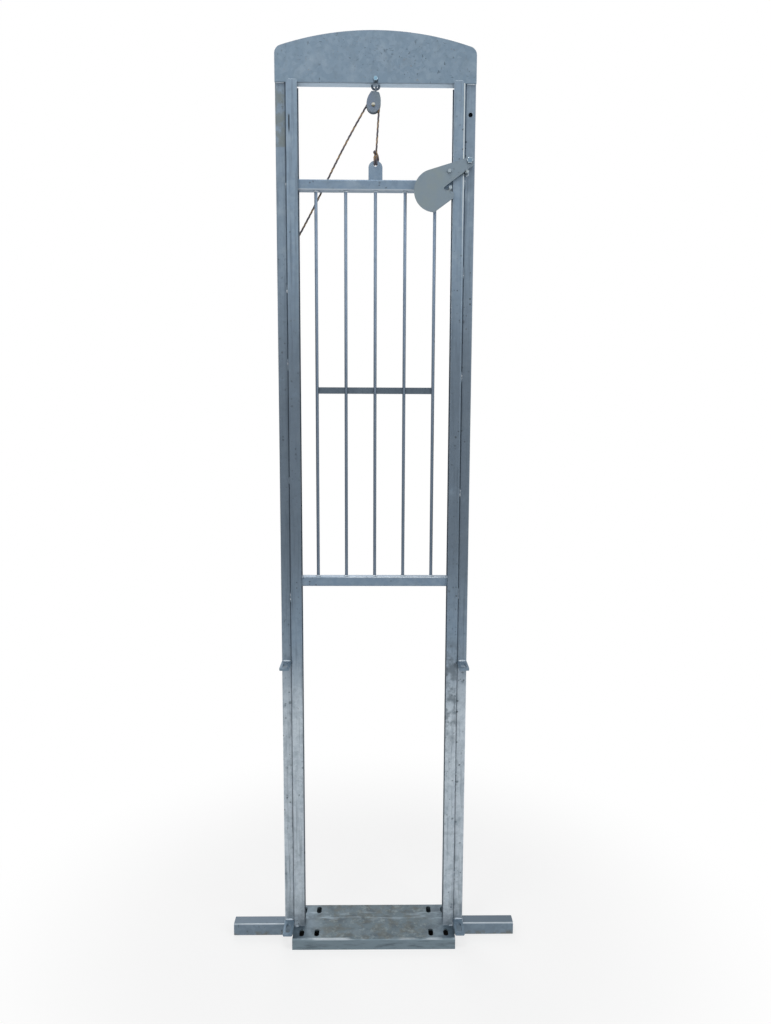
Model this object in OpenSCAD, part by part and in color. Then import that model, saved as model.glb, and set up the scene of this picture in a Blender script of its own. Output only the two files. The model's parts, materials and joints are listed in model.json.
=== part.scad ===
// Guillotine gate for a stock race, in galvanised steel: two posts with folded guide tracks,
// an arched head plate, a barred gate that slides in the tracks, a rope and pulley that lift it
// and a hooked gravity latch that holds it up. It is drawn with the gate raised and latched.
// Millimetres. +X is to the right and +Y to the back as seen from the latch side, +Z is up.
// The origin is on the ground, midway between the posts, in the plane of the gate.

/* [Frame] */
// Width over the two uprights
frame_w = 480; // [430:5:700]
// Clear height from the base plate to the underside of the raised gate
passage_h = 934; // [600:2:1200]
// Height from the top of the raised gate to the underside of the crossbar
headroom = 219; // [205:1:400]
// Side of the square tube in the uprights, crossbar and gate rails
tube = 25; // [22:1:40]
// Wall of that tube
tube_wall = 2; // [1.5:0.1:2.5]
// Outside corner radius of that tube
tube_corner = 3; // [3:0.1:5]
// Diameter of the spare hole in the front of the right upright
spare_hole_d = 10.5; // [8:0.5:14]
// Distance of the spare hole below the crossbar
spare_hole_down = 69; // [60:1:110]

/* [Guide tracks] */
// Width of a track as seen from the front
track_w = 28; // [24:1:40]
// Sheet thickness of a track
track_sheet = 3; // [2:0.5:4]
// Outside bend radius of a track
track_bend = 4.5; // [4.5:0.1:6]
// How far a track's front flange laps up over the head plate
track_lap = 5; // [3:0.5:12]

/* [Head plate] */
// Thickness of the head plate, which also sets a rail's clearance in the tracks
head_plate_t = 5; // [5:0.5:8]
// Height of the head plate at the middle of its arch
head_plate_h = 117; // [95:1:180]
// Radius of the arch
head_arch_r = 755; // [600:5:1500]
// Radius of the two top corners
head_corner_r = 20; // [8:1:30]
// Diameter of the bolt through the head plate and crossbar
head_bolt_d = 6; // [6:1:10]
// Height of that bolt above the underside of the crossbar
head_bolt_up = 9; // [8:0.5:16]

/* [Base] */
// Depth of the base plate, front to back
base_d = 148; // [120:2:240]
// Height of the base plate's top above the ground
base_h = 30; // [25:1:34]
// Sheet thickness of the base plate
base_sheet = 4; // [3:0.5:5]
// Outside bend radius of the base plate
base_bend = 6; // [5.5:0.5:10]
// Width of a slot in the base plate
slot_w = 13; // [9:0.5:16]
// Length of a slot, end to end
slot_l = 28; // [20:1:40]
// Distance of the outer slots from the end of the base plate
slot_end = 23; // [16:1:30]
// Distance between the two slots of a pair
slot_pitch = 40; // [30:1:60]
// Distance between the front and the back slots
slot_spacing = 96; // [90:2:110]
// Side of the square tube of a foot
foot = 35; // [35:1:50]
// Wall of that tube
foot_wall = 3; // [2:0.5:4]
// Outside corner radius of that tube
foot_corner = 5; // [4.5:0.5:7]
// Length of a foot beyond the base plate
foot_l = 163; // [100:1:300]

/* [Lugs] */
// How far a fixing lug stands forward of its upright
lug_l = 61.5; // [50:0.5:90]
// Thickness of a lug
lug_t = 6; // [4:0.5:10]
// Radius of a lug's front corners
lug_corner_r = 4; // [1:0.5:6]
// Width of the slot in a lug
lug_slot_w = 13; // [9:0.5:14]
// Length of the slot in a lug, end to end
lug_slot_l = 36; // [20:1:40]
// Distance from a lug's front edge to its slot
lug_slot_edge = 8; // [5:0.5:10]
// Height of a lower lug's underside above its foot
lug_low_gap = 3; // [1:0.5:20]
// Height of an upper lug's top above the ground
lug_high_z = 766; // [500:2:900]

/* [Gate] */
// Height of the gate over its two rails
gate_h = 1001; // [700:1:1300]
// Diameter of a bar
bar_d = 8; // [6:0.5:12]
// Distance between two bars
bar_pitch = 72.5; // [50:0.5:75]
// Height of the flat bar that ties the bars
flat_h = 16; // [10:1:30]
// Thickness of the flat bar
flat_t = 5; // [3:0.5:7]
// Height of the flat bar's underside above the gate's underside
flat_up = 489.5; // [300:0.5:600]
// Width of the rope tab
tab_w = 34; // [24:1:50]
// Height of the rope tab above the top rail
tab_h = 47; // [40:0.5:60]
// Thickness of the rope tab
tab_t = 5; // [3:0.5:6]
// Diameter of the rope hole in the tab
tab_hole_d = 10; // [9:0.5:12]
// Distance from the tab's top to the middle of its hole
tab_hole_down = 9; // [8.5:0.5:13]

/* [Latch] */
// Diameter of the catch pin on the gate
pin_d = 8; // [6:0.5:12]
// Gap between the catch pin and the edge of the track
pin_clear = 3; // [2:0.5:10]
// Distance of the catch pin below the top of the gate
pin_down = 22; // [16:0.5:22]
// Height of the latch pivot above the catch pin
pivot_up = 62; // [55:1:90]
// Distance of the pivot inwards from the middle of its upright
pivot_in = 2; // [0:0.5:2.5]
// Diameter of the pivot bolt
pivot_d = 8; // [6:1:10]
// Thickness of the latch plate
latch_t = 4; // [3:0.5:8]
// Gap between the latch plate and the track
latch_gap = 5; // [5:0.5:10]
// Radius of the latch's weighted disc
disc_r = 49.5; // [45:0.5:60]
// Distance from the catch pin to the disc's centre, to the left
disc_left = 38; // [32:0.5:42]
// Distance from the catch pin to the disc's centre, downwards
disc_down = 7; // [2:0.5:12]
// Radius of the latch's end at the pivot
boss_r = 11; // [10:0.5:16]
// Radius of the inner end of the latch's notch
throat_r = 5; // [4:0.5:6]
// Distance from the catch pin to the middle of the notch's inner end
throat_left = 10.5; // [8:0.5:14]
// Gap from the catch pin down to the floor of the notch
hook_gap = 2.7; // [2.5:0.1:4]
// Radius of the hook's nose
nose_r = 10.5; // [8:0.5:12]
// Gap between the nose and the catch pin as the latch swings
swing_clear = 0.8; // [0.5:0.1:2]
// Diameter of the stop pin under the latch's arm
stop_d = 8; // [6:0.5:10]
// Diameter of the stud on the latch
stud_d = 10; // [8:0.5:14]
// Distance of the stud to the left of the catch pin
stud_left = 3; // [-4:0.5:6]
// Distance of the stud below the pivot
stud_down = 24; // [22:0.5:28]
// How far the catch pin and the stop pin stand out past the latch plate
pin_proud = 4; // [2:0.5:10]

/* [Pulley] */
// Rod diameter of the bow under the crossbar
bow_wire = 5; // [4:0.5:8]
// Width of the bow between the middles of its legs
bow_w = 17; // [15:0.5:24]
// Depth of the bow below the crossbar, to the middle of its rod
bow_drop = 8.5; // [8.5:0.5:20]
// Radius of the bow's two bends, to the middle of its rod
bow_bend = 6; // [5:0.5:7]
// Rod diameter of the block's ring
ring_wire = 4; // [3:0.5:5]
// Radius of the block's ring, to the middle of its rod
ring_r = 7; // [7:0.5:9]
// Distance from the middle of the ring to the sheave's axle
block_l = 35.7; // [34:0.1:50]
// Lean of the block to the left, in degrees
block_lean = 9; // [0:0.5:20]
// Radius of the cheeks round the axle
cheek_r = 16.5; // [16.5:0.5:22]
// Radius of the cheeks' bulging sides
cheek_side_r = 45; // [40:1:80]
// Thickness of a cheek
cheek_t = 2; // [1.5:0.5:4]
// Radius of the rope's centre line round the sheave
sheave_pitch_r = 14; // [12:0.5:14]
// Thickness of the sheave
sheave_t = 10; // [9:0.5:14]
// Gap between the sheave and a cheek
sheave_gap = 1; // [0.5:0.1:2]
// Diameter of the axle
axle_d = 6; // [5:0.5:8]

/* [Rope] */
// Diameter of the rope
rope_d = 5; // [4.5:0.5:6.5]
// Height of the rope eye below the crossbar
eye_down = 413; // [300:1:600]
// Distance of the rope behind the back of its upright
eye_back = 25.5; // [22:0.5:40]
// Rod diameter of the rope eye
eye_wire = 6; // [5:0.5:8]
// Inside radius of the rope eye
eye_r = 6; // [5:0.5:10]
// Height of the knot above the rope tab
knot_h = 23.5; // [22:0.5:40]
// Radius of the knot
knot_r = 7.5; // [7:0.5:10]

/* [Hidden] */
$fn = 64;

// Seat between two pieces that bear on each other without being joined
seat = 0.3;
// Play of a bolt in its holes, on the diameter
bolt_play = 0.4;
// Running play of a moving part on its pin, on the diameter
pin_play = 0.5;
// Overlap of two shapes that make one piece
overlap = 0.1;

// Frame
half_w = frame_w / 2;
upright_x = half_w - tube / 2;
upright_in = half_w - tube;
tube_face = tube / 2;
rail_clear = head_plate_t;
track_in = upright_in - track_w;
track_y = tube_face + rail_clear + track_sheet;
gate_z = base_h + passage_h;
gate_top = gate_z + gate_h;
bar_z = gate_top + headroom;
frame_top = bar_z + tube;
head_bolt_z = bar_z + head_bolt_up;
spare_hole_z = bar_z - spare_hole_down;
lug_low_z = foot + lug_low_gap + lug_t;

// Gate
rail_half = upright_in - track_sheet - rail_clear;
bar_count = 5;
tab_top = gate_top + tab_h;
tab_hole_z = tab_top - tab_hole_down;

// Latch: places in the X-Z plane from the pivot bolt
latch_back = -(track_y + latch_gap);
latch_front = latch_back - latch_t;
pivot = [upright_x - pivot_in, gate_top - pin_down + pivot_up];
pin = [track_in - pin_clear - pin_d / 2, gate_top - pin_down] - pivot;
boss = [-1, -3.5];
disc = pin - [disc_left, disc_down];
floor_z = pin.y - pin_d / 2 - hook_gap;
throat = [pin.x - throat_left, floor_z + throat_r];
nose_z = floor_z - nose_r;
nose_reach = norm(pin) + pin_d / 2 + swing_clear + nose_r;
nose = [-sqrt(nose_reach * nose_reach - nose_z * nose_z), nose_z];
// Normal of the arm's lower edge, which touches the boss above it and the throat below it
arm_angle = heading(throat - boss) - acos(-(boss_r + throat_r) / norm(throat - boss));
arm_normal = unit(arm_angle);
arm_along = unit(arm_angle - 90);
stop_x = upright_in + stop_d / 2 + 1 - pivot.x;
stop_line = arm_normal * boss - boss_r - stop_d / 2 - seat;
stop = [stop_x, (stop_line - arm_normal.x * stop_x) / arm_normal.y];
pin_end = latch_front - pin_proud;
stud = pivot + [pin.x - stud_left, -stud_down];
stud_collar = 2;
stud_dome = 3;
// Height of a bolt's head and nut, and width across their flats, as shares of its diameter
bolt_head = 0.65;
bolt_nut = 0.8;
bolt_across = 1.625;

// Pulley
bow_z = bar_z - bow_drop;
ring_z = bow_z + bow_wire / 2 + seat - ring_r + ring_wire / 2;
axle = [-block_l * sin(block_lean), ring_z - block_l * cos(block_lean)];
cheek_in = sheave_t / 2 + sheave_gap;
bridge_r = 4;
// How deep the ring is let into the bridge
ring_bite = 1.5;
bridge_up = block_l - ring_r - ring_wire / 2 - bridge_r + ring_bite;
shoulder_up = bridge_up + 3.5;
shoulder_r = 3;
shoulder_w = 14;
sheave_rim = 1.5;
sheave_r = sheave_pitch_r + sheave_rim;
// Widening of the sheave's groove towards its mouth
groove_flare = 1.2;
axle_head_r = axle_d / 2 + 1.5;
axle_head_t = 1.8;

// Rope
rope_r = rope_d / 2;
rope_sides = 10;
eye = [-upright_x, tube_face + eye_back, bar_z - eye_down];
knot_top = [2, 0, tab_top + knot_h];
// Height of the knot's sloping shoulders
knot_shoulder = 4;
tail_knot_r = 3.5;
run_sag = 5;
bend_l = 10;
run_corner = eye + [0, 0, bend_l];
run_turn = 151;
run_start = on_sheave(run_turn);
run_bend = run_corner + bend_l * (run_start - run_corner) / norm(run_start - run_corner);
run_route = concat(
    [for (a = [0:run_turn / 10:run_turn]) on_sheave(a)],
    [for (t = [0.06:0.0855:0.92]) run_start + t * (run_bend - run_start) - [0, 0, 4 * run_sag * t * (1 - t)]],
    [for (t = [0:0.25:1]) (1 - t) * (1 - t) * run_bend + 2 * t * (1 - t) * run_corner + t * t * eye]
);
drop_end = knot_top + [0, 0, seat];
drop_route = [on_sheave(0), 0.5 * (on_sheave(0) + drop_end), drop_end];
// The tail hangs down behind the left upright: steps from the rope eye
tail_steps = [
    [0, 0, 0], [0, 0, -50], [-1, 1, -150], [-2, 1, -250], [-2, 2, -350], [-1, 2, -450],
    [0, 2, -550], [1, 1, -650], [2, 0, -750], [2, 0, -850], [1, 0, -950], [0, 1, -1050],
    [-1, 2, -1150], [-2, 2, -1250], [-1, 1, -1350], [0, 0, -1440], [0, 0, -1500]
];
tail_route = [for (s = tail_steps) eye + s];
tail_knot_z = tail_route[15].z;

// Direction of a vector, from 0 to 360 degrees, and the unit vector of a direction
function heading(v) = (atan2(v.y, v.x) + 360) % 360;
function unit(a) = [cos(a), sin(a)];
// A point on the rope's centre line round the sheave
function on_sheave(a) = [axle.x + sheave_pitch_r * cos(a), 0, axle.y + sheave_pitch_r * sin(a)];
// Direction of a route at one of its points; its two ends are cut level
function along(route, i) = let (
    last = len(route) - 1,
    v = route[min(i + 1, last)] - route[max(i - 1, 0)]
) i == 0 || i == last ? [0, 0, sign(v.z)] : v / norm(v);
// One ring of a tube round a route
function ring_at(route, i, r, n) = let (
    t = along(route, i),
    side = cross([0, 1, 0], t),
    u = side / norm(side),
    v = cross(t, u)
) [for (k = [0:n - 1]) route[i] + r * (cos(360 * k / n) * u + sin(360 * k / n) * v)];

// A tube of round section swept along a route
module swept(route, r, n) {
    last = len(route) - 1;
    polyhedron(
        points = [for (i = [0:last]) each ring_at(route, i, r, n)],
        faces = concat(
            [[for (k = [0:n - 1]) k]],
            [for (i = [0:last - 1], k = [0:n - 1]) [i * n + k, (i + 1) * n + k, (i + 1) * n + (k + 1) % n]],
            [for (i = [0:last - 1], k = [0:n - 1]) [i * n + k, (i + 1) * n + (k + 1) % n, i * n + (k + 1) % n]],
            [[for (k = [n - 1:-1:0]) last * n + k]]
        )
    );
}

// Draws on the X-Z plane and extrudes from one Y to another
module upright_plate(front, back) {
    translate([0, back, 0]) rotate([90, 0, 0]) linear_extrude(back - front) children();
}

// Draws on the Y-Z plane and extrudes from one X to another
module lengthwise(left, right) {
    translate([left, 0, 0]) rotate([90, 0, 90]) linear_extrude(right - left) children();
}

// The right-hand piece, or its mirror image on the left
module handed(side) {
    if (side < 0) mirror([1, 0, 0]) children();
    else children();
}

module rounded_square(w, h, r) {
    square([w - 2 * r, h], center = true);
    square([w, h - 2 * r], center = true);
    for (x = [-1, 1], y = [-1, 1])
        translate([x * (w / 2 - r), y * (h / 2 - r)]) circle(r);
}

module tube_section(side, wall, corner) {
    difference() {
        rounded_square(side, side, corner);
        rounded_square(side - 2 * wall, side - 2 * wall, corner - wall);
    }
}

module frame_tube_section() {
    tube_section(tube, tube_wall, tube_corner);
}

module slot_shape(w, l) {
    square([w, l - w], center = true);
    for (y = [-1, 1]) translate([0, y * (l - w) / 2]) circle(d = w);
}

// A hexagon with two flats to the sides
module hexagon(across) {
    rotate(30) circle(d = across / cos(30), $fn = 6);
}

module upright(side) {
    translate([side * upright_x, 0, foot]) linear_extrude(frame_top - foot) frame_tube_section();
}

// A folded channel, open towards the gate, with its web against the upright
module track_section() {
    inner_y = track_y - track_sheet;
    web = upright_in - track_sheet;
    inner_bend = track_bend - track_sheet;
    difference() {
        union() {
            translate([track_in, -track_y]) square([track_w - track_bend, 2 * track_y]);
            translate([track_in, track_bend - track_y]) square([track_w, 2 * (track_y - track_bend)]);
            for (y = [-1, 1]) translate([upright_in - track_bend, y * (track_y - track_bend)]) circle(track_bend);
        }
        translate([track_in - 1, -inner_y]) square([web - inner_bend - track_in + 1, 2 * inner_y]);
        translate([track_in - 1, inner_bend - inner_y])
            square([web - track_in + 1, 2 * (inner_y - inner_bend)]);
        for (y = [-1, 1]) translate([web - inner_bend, y * (inner_y - inner_bend)]) circle(inner_bend);
    }
}

module track(side) {
    handed(side) {
        translate([0, 0, base_h]) linear_extrude(bar_z - base_h) track_section();
        translate([track_in, -track_y, bar_z - 1])
            cube([track_w - track_bend, track_sheet, track_lap + 1]);
    }
}

// The arch and the two corner arcs that touch it and the plate's sides
module head_plate_outline() {
    corner_x = half_w - head_corner_r;
    arch_z = bar_z + head_plate_h - head_arch_r;
    inner_r = head_arch_r - head_corner_r;
    corner_z = arch_z + sqrt(inner_r * inner_r - corner_x * corner_x);
    touch_x = corner_x * head_arch_r / inner_r;
    translate([-half_w, bar_z]) square([frame_w, corner_z - bar_z]);
    for (x = [-1, 1]) translate([x * corner_x, corner_z]) circle(head_corner_r);
    intersection() {
        translate([0, arch_z]) circle(head_arch_r, $fn = 720);
        translate([-touch_x, bar_z]) square([2 * touch_x, head_plate_h + 1]);
    }
}

// A sheet folded down at the front and the back
module base_cover(depth, height, bend, below) {
    translate([-depth / 2, -below]) square([depth, height - bend + below]);
    translate([bend - depth / 2, -below]) square([depth - 2 * bend, height + below]);
    for (y = [-1, 1]) translate([y * (depth / 2 - bend), height - bend]) circle(bend);
}

module foot_tube(side) {
    handed(side)
        translate([0, 0, foot / 2])
            lengthwise(upright_in, upright_in + foot_l) tube_section(foot, foot_wall, foot_corner);
}

module lug(side, top) {
    front = -(tube_face + lug_l);
    slot_mid = front + lug_slot_edge + lug_slot_l / 2;
    handed(side)
        translate([upright_x, 0, top - lug_t]) linear_extrude(lug_t) difference() {
            union() {
                translate([-tube / 2, front + lug_corner_r]) square([tube, lug_l - lug_corner_r]);
                translate([lug_corner_r - tube / 2, front]) square([tube - 2 * lug_corner_r, lug_l]);
                for (x = [-1, 1])
                    translate([x * (tube / 2 - lug_corner_r), front + lug_corner_r]) circle(lug_corner_r);
            }
            translate([0, slot_mid]) slot_shape(lug_slot_w, lug_slot_l);
        }
}

module left_upright() { color("slategray") upright(-1); }

module right_upright() {
    color("slategray") difference() {
        upright(1);
        upright_plate(-tube, tube) translate(pivot) circle(d = pivot_d + bolt_play);
        upright_plate(-tube, 0) translate([upright_x, spare_hole_z]) circle(d = spare_hole_d);
    }
}

module left_track() { color("lightslategray") track(-1); }

module right_track() { color("lightslategray") track(1); }

module crossbar() {
    color("slategray") difference() {
        translate([0, 0, bar_z + tube / 2]) lengthwise(-upright_in, upright_in) frame_tube_section();
        upright_plate(-tube, tube) translate([0, head_bolt_z]) circle(d = head_bolt_d + bolt_play);
    }
}

module head_plate() {
    color("slategray") upright_plate(-tube_face - head_plate_t, -tube_face) difference() {
        head_plate_outline();
        translate([0, head_bolt_z]) circle(d = head_bolt_d + bolt_play);
    }
}

// A hexagon bolt along Y: head in front, nut behind
module hex_bolt(d, front, back) {
    upright_plate(front - bolt_head * d, front) hexagon(bolt_across * d);
    upright_plate(front - overlap, back + d) circle(d = d);
    upright_plate(back, back + bolt_nut * d) hexagon(bolt_across * d);
}

module head_bolt() {
    color("silver") translate([0, 0, head_bolt_z])
        hex_bolt(head_bolt_d, -tube_face - head_plate_t, tube_face);
}

module base_plate() {
    color("gray") difference() {
        lengthwise(-upright_in, upright_in) difference() {
            base_cover(base_d, base_h, base_bend, 0);
            base_cover(base_d - 2 * base_sheet, base_h - base_sheet, base_bend - base_sheet, 1);
        }
        for (side = [-1, 1], i = [0, 1], y = [-1, 1])
            translate([side * (upright_in - slot_end - i * slot_pitch), y * slot_spacing / 2, base_h / 2])
                linear_extrude(base_h) slot_shape(slot_w, slot_l);
    }
}

module left_foot() { color("slategray") foot_tube(-1); }

module right_foot() { color("slategray") foot_tube(1); }

module left_upper_lug() { color("slategray") lug(-1, lug_high_z); }

module right_upper_lug() { color("slategray") lug(1, lug_high_z); }

module left_lower_lug() { color("slategray") lug(-1, lug_low_z); }

module right_lower_lug() { color("slategray") lug(1, lug_low_z); }

// A U of rod welded under the crossbar
module pulley_bow() {
    bend_x = bow_w / 2 - bow_bend;
    color("dimgray") translate([0, 0, bow_z + bow_bend]) {
        translate([-bend_x, 0, -bow_bend]) rotate([0, 90, 0]) cylinder(d = bow_wire, h = 2 * bend_x);
        for (side = [-1, 1]) handed(side) translate([bend_x, 0, 0]) {
            rotate([90, 0, 0]) rotate([0, 0, -90])
                rotate_extrude(angle = 90) translate([bow_bend, 0]) circle(d = bow_wire);
            translate([bow_bend, 0, 0]) cylinder(d = bow_wire, h = bow_drop - bow_bend);
        }
    }
}

// Places the block's own X-Z frame, with the axle at its origin, on the hanging ring
module on_block() {
    translate([axle.x, 0, axle.y]) rotate([0, block_lean, 0]) children();
}

// An egg of plate: bulging sides touch the round end below and the two shoulders above
module cheek_outline() {
    shoulder = [shoulder_w / 2, shoulder_up];
    to_end = cheek_side_r - cheek_r;
    to_shoulder = cheek_side_r - shoulder_r;
    reach = norm(shoulder);
    turn = acos((to_end * to_end + reach * reach - to_shoulder * to_shoulder) / (2 * to_end * reach));
    side = to_end * unit(heading(shoulder) + turn);
    low = -cheek_r * side.y / to_end;
    high = shoulder.y + shoulder_r * (shoulder.y - side.y) / to_shoulder;
    difference() {
        union() {
            circle(cheek_r);
            intersection() {
                translate(side) circle(cheek_side_r);
                translate([-side.x, side.y]) circle(cheek_side_r);
                translate([-cheek_side_r, low]) square([2 * cheek_side_r, high - low]);
            }
            for (x = [-1, 1]) translate([x * shoulder.x, shoulder.y]) circle(shoulder_r);
            translate([-shoulder.x, shoulder.y]) square([shoulder_w, shoulder_r]);
        }
        circle(d = axle_d + bolt_play);
    }
}

// Two cheeks, the bridge between them and the ring that hangs on the bow
module pulley_block() {
    color("slategray") on_block() {
        upright_plate(-cheek_in - cheek_t, -cheek_in) cheek_outline();
        upright_plate(cheek_in, cheek_in + cheek_t) cheek_outline();
        upright_plate(-cheek_in, cheek_in) translate([0, bridge_up]) circle(bridge_r);
        translate([0, 0, block_l]) rotate([0, 90, 0])
            rotate_extrude() translate([ring_r, 0]) circle(d = ring_wire);
    }
}

// A rivet with a flat head outside each cheek
module pulley_axle() {
    out = cheek_in + cheek_t;
    color("silver") on_block() {
        upright_plate(-out - overlap, out + overlap) circle(d = axle_d);
        for (y = [-out - axle_head_t, out]) upright_plate(y, y + axle_head_t) circle(axle_head_r);
    }
}

module pulley_sheave() {
    bore_r = (axle_d + pin_play) / 2;
    groove_w = rope_r + seat;
    mouth_r = sheave_r + overlap;
    color("dimgray") on_block() rotate([90, 0, 0]) rotate_extrude() difference() {
        translate([bore_r, -sheave_t / 2]) square([sheave_r - bore_r, sheave_t]);
        translate([sheave_pitch_r, 0]) circle(groove_w);
        polygon([
            [sheave_pitch_r, -groove_w], [mouth_r, -groove_w - groove_flare],
            [mouth_r, groove_w + groove_flare], [sheave_pitch_r, groove_w]
        ]);
    }
}

module latch_bolt() {
    color("silver") translate([pivot.x, 0, pivot.y]) hex_bolt(pivot_d, latch_front - seat, tube_face);
}

// The bush that holds the latch clear of the track
module latch_bush() {
    color("silver") upright_plate(latch_back + seat, -tube_face) translate(pivot) difference() {
        circle(pivot_d);
        circle(d = pivot_d + bolt_play);
    }
}

module latch_stop_pin() {
    color("silver") upright_plate(pin_end, -tube_face) translate(pivot + stop) circle(d = stop_d);
}

// Points along an arc, about six degrees apart
function arc(centre, r, from, to) = let (n = ceil(abs(to - from) / 6))
    [for (i = [0:n]) centre + r * unit(from + (to - from) * i / n)];

// A teardrop of plate with a notch cut in from the right: the hook under the catch pin.
// Straights join the boss, the disc, the nose and the throat, round which the outline turns.
module latch_outline() {
    top_angle = heading(disc - boss) - acos((boss_r - disc_r) / norm(disc - boss));
    lip_angle = arm_angle - 180;
    disc_end = arm_angle + acos((arm_normal * (nose - disc) - nose_r) / disc_r);
    difference() {
        polygon(concat(
            arc(boss, boss_r, lip_angle, top_angle),
            arc(disc, disc_r, top_angle, disc_end),
            arc(nose, nose_r, lip_angle, 90),
            arc(throat, throat_r, 270, arm_angle)
        ));
        circle(d = pivot_d + pin_play);
    }
}

module latch_plate() {
    color("slategray") upright_plate(latch_front, latch_back) translate(pivot) latch_outline();
}

// A domed stud on the front of the latch's arm
module latch_stud() {
    collar_front = latch_front - stud_collar;
    color("silver") {
        upright_plate(collar_front, latch_front) translate(stud) circle(d = stud_d);
        translate([stud.x, collar_front, stud.y]) intersection() {
            sphere(d = stud_d);
            translate([-stud_d, -stud_dome, -stud_d]) cube([2 * stud_d, stud_dome + overlap, 2 * stud_d]);
        }
    }
}

// An eye of rod on the back of the left upright; the rope bears on its inner side
module rope_eye() {
    mid_r = eye_r + eye_wire / 2;
    centre = eye - [eye_r - rope_r - seat, 0, 0];
    color("dimgray") {
        translate(centre) rotate_extrude() translate([mid_r, 0]) circle(d = eye_wire);
        translate([centre.x, 0, centre.z])
            upright_plate(tube_face, centre.y - mid_r) circle(d = eye_wire - 1);
    }
}

module rope_run() { color("saddlebrown") swept(run_route, rope_r, rope_sides); }

module rope_drop() { color("saddlebrown") swept(drop_route, rope_r, rope_sides); }

module rope_tail() { color("saddlebrown") swept(tail_route, rope_r, rope_sides); }

// The stopper knot round the end of the tail
module rope_tail_knot() {
    color("saddlebrown") translate([eye.x, eye.y, tail_knot_z])
        rotate_extrude() translate([rope_r + tail_knot_r + seat, 0]) circle(tail_knot_r);
}

module gate_rail(bottom) {
    translate([0, 0, bottom + tube / 2]) lengthwise(-rail_half, rail_half) frame_tube_section();
}

module gate_top_rail() { color("lightslategray") gate_rail(gate_top - tube); }

module gate_bottom_rail() { color("lightslategray") gate_rail(gate_z); }

module gate_bar(i) {
    color("slategray") translate([(i - (bar_count + 1) / 2) * bar_pitch, 0, gate_z + tube])
        cylinder(d = bar_d, h = gate_h - 2 * tube);
}

// The flat that ties the bars together behind them
module gate_mid_flat() {
    half = (bar_count - 1) / 2 * bar_pitch + bar_d / 2;
    color("slategray") translate([-half, bar_d / 2, gate_z + flat_up]) cube([2 * half, flat_t, flat_h]);
}

module rope_tab() {
    color("lightslategray") upright_plate(-tab_t / 2, tab_t / 2) difference() {
        union() {
            translate([-tab_w / 2, gate_top]) square([tab_w, tab_h - tab_w / 2]);
            translate([0, tab_top - tab_w / 2]) circle(d = tab_w);
        }
        translate([0, tab_hole_z]) circle(d = tab_hole_d);
    }
}

module catch_pin() {
    color("silver") upright_plate(pin_end, -tube_face) translate(pivot + pin) circle(d = pin_d);
}

// The loop through the tab and the knot above it
module rope_knot() {
    loop_slack = 0.5;
    loop_r = (tab_hole_down + rope_d) / 2 + loop_slack;
    loop_in = loop_r - rope_r;
    loop_z = tab_hole_z + tab_hole_d / 2 - seat + sqrt(loop_in * loop_in - tab_t * tab_t / 4);
    knot_low = loop_z + loop_r - 1;
    color("saddlebrown") {
        translate([0, 0, loop_z]) rotate([0, 90, 0])
            rotate_extrude() translate([loop_r, 0]) circle(rope_r);
        translate([knot_top.x / 2, 0, 0]) rotate_extrude() polygon([
            [0, knot_low], [rope_r, knot_low], [knot_r, knot_low + knot_shoulder],
            [knot_r, knot_top.z - knot_shoulder], [rope_r + 1, knot_top.z], [0, knot_top.z]
        ]);
    }
}

left_upright();
right_upright();
left_track();
right_track();
crossbar();
head_plate();
head_bolt();
base_plate();
left_foot();
right_foot();
left_upper_lug();
right_upper_lug();
left_lower_lug();
right_lower_lug();
pulley_bow();
pulley_block();
pulley_axle();
pulley_sheave();
latch_bolt();
latch_bush();
latch_stop_pin();
latch_plate();
latch_stud();
rope_eye();
rope_run();
rope_drop();
rope_tail();
rope_tail_knot();
gate_top_rail();
gate_bottom_rail();
gate_bar(1);  // gate_bar_1
gate_bar(2);  // gate_bar_2
gate_bar(3);  // gate_bar_3
gate_bar(4);  // gate_bar_4
gate_bar(5);  // gate_bar_5
gate_mid_flat();
rope_tab();
catch_pin();
rope_knot();
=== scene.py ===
"""Looks of a galvanised guillotine gate for a stock race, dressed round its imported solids.

Metres. +X is to the right and +Y to the back as seen from the latch side, +Z is up.
"""
import json
import math
import random
from dataclasses import dataclass

import bmesh
import bpy
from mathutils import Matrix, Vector


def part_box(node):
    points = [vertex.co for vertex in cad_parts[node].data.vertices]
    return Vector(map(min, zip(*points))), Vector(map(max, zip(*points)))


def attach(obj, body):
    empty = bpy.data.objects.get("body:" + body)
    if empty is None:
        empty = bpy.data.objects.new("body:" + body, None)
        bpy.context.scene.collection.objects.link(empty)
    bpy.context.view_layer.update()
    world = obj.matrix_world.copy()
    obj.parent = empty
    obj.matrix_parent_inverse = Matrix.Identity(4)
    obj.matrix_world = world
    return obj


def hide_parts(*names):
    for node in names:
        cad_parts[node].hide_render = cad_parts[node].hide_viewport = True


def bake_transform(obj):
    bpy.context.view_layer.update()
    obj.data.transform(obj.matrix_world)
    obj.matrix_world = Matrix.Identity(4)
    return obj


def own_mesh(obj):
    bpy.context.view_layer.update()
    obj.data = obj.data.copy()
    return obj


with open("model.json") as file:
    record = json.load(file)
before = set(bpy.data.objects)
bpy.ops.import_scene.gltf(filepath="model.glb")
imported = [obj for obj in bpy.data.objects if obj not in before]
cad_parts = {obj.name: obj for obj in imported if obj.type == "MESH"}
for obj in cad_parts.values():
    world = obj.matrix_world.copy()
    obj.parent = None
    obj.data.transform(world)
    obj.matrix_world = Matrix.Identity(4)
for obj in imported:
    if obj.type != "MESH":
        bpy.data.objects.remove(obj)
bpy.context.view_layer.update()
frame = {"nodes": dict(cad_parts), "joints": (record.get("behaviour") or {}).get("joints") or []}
joints = {joint["name"]: joint for joint in frame["joints"]}
MM = 0.001
UP = Vector((0, 0, 1))
BACK = Vector((0, 1, 0))

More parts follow.
